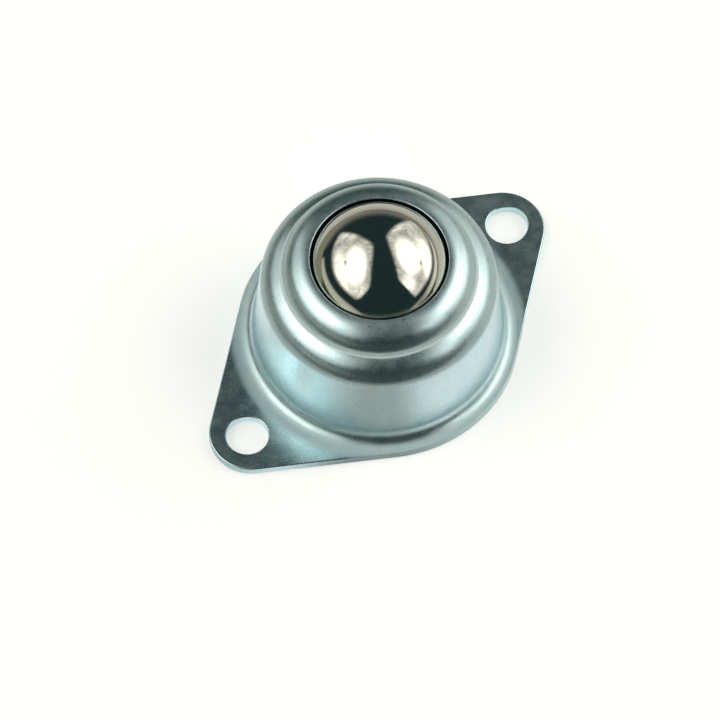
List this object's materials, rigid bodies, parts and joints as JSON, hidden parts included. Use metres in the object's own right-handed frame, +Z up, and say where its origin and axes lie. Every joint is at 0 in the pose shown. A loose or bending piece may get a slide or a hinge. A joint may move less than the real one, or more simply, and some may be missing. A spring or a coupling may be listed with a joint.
{
  "type": "ball transfer unit",
  "caption": "Ball transfer unit: a large steel ball rolls any way on small balls in a hardened bowl, inside a stepped pressed-steel dome with a two-hole flange.",
  "frame": {"origin": "on the mounting plane, under the centre of the load ball", "axes": "+Z up along the ball's axis, away from the mounting plane; +X along the flange, through one mounting hole"},
  "size_m": [0.07, 0.0462, 0.0308],
  "materials": {
    "zinc_plated_sheet": "satin",
    "hardened_bowl": "satin",
    "polished_ball": "gloss",
    "bearing_ball": "gloss"
  },
  "bodies": {
    "unit": {"housing": "zinc_plated_sheet", "raceway_bowl": "hardened_bowl"},
    "support_balls": {"support_ball_01": "bearing_ball", "support_ball_02": "bearing_ball", "support_ball_03": "bearing_ball", "support_ball_04": "bearing_ball", "support_ball_05": "bearing_ball", "support_ball_06": "bearing_ball", "support_ball_07": "bearing_ball", "support_ball_08": "bearing_ball", "support_ball_09": "bearing_ball", "support_ball_10": "bearing_ball", "support_ball_11": "bearing_ball", "support_ball_12": "bearing_ball", "support_ball_13": "bearing_ball", "support_ball_14": "bearing_ball", "support_ball_15": "bearing_ball", "support_ball_16": "bearing_ball", "support_ball_17": "bearing_ball", "support_ball_18": "bearing_ball", "support_ball_19": "bearing_ball", "support_ball_20": "bearing_ball", "support_ball_21": "bearing_ball", "support_ball_22": "bearing_ball", "support_ball_23": "bearing_ball", "support_ball_24": "bearing_ball", "support_ball_25": "bearing_ball", "support_ball_26": "bearing_ball", "support_ball_27": "bearing_ball", "support_ball_28": "bearing_ball", "support_ball_29": "bearing_ball", "support_ball_30": "bearing_ball", "support_ball_31": "bearing_ball", "support_ball_32": "bearing_ball", "support_ball_33": "bearing_ball", "support_ball_34": "bearing_ball", "support_ball_35": "bearing_ball", "support_ball_36": "bearing_ball", "support_ball_37": "bearing_ball", "support_ball_38": "bearing_ball", "support_ball_39": "bearing_ball", "support_ball_40": "bearing_ball", "support_ball_41": "bearing_ball", "support_ball_42": "bearing_ball", "support_ball_43": "bearing_ball", "support_ball_44": "bearing_ball", "support_ball_45": "bearing_ball", "support_ball_46": "bearing_ball", "support_ball_47": "bearing_ball", "support_ball_48": "bearing_ball", "support_ball_49": "bearing_ball", "support_ball_50": "bearing_ball", "support_ball_51": "bearing_ball", "support_ball_52": "bearing_ball", "support_ball_53": "bearing_ball", "support_ball_54": "bearing_ball"},
    "load": {"load_ball": "polished_ball"}
  },
  "joints": [
    {"name": "support_orbit", "type": "hinge", "parent": "unit", "child": "support_balls", "pos_m": [0, 0, 0.01811], "axis": [0, 0, 1], "continuous": true},
    {"name": "load_roll", "type": "hinge", "parent": "support_balls", "child": "load", "pos_m": [0, 0, 0.01811], "axis": [1, 0, 0], "continuous": true}
  ]
}
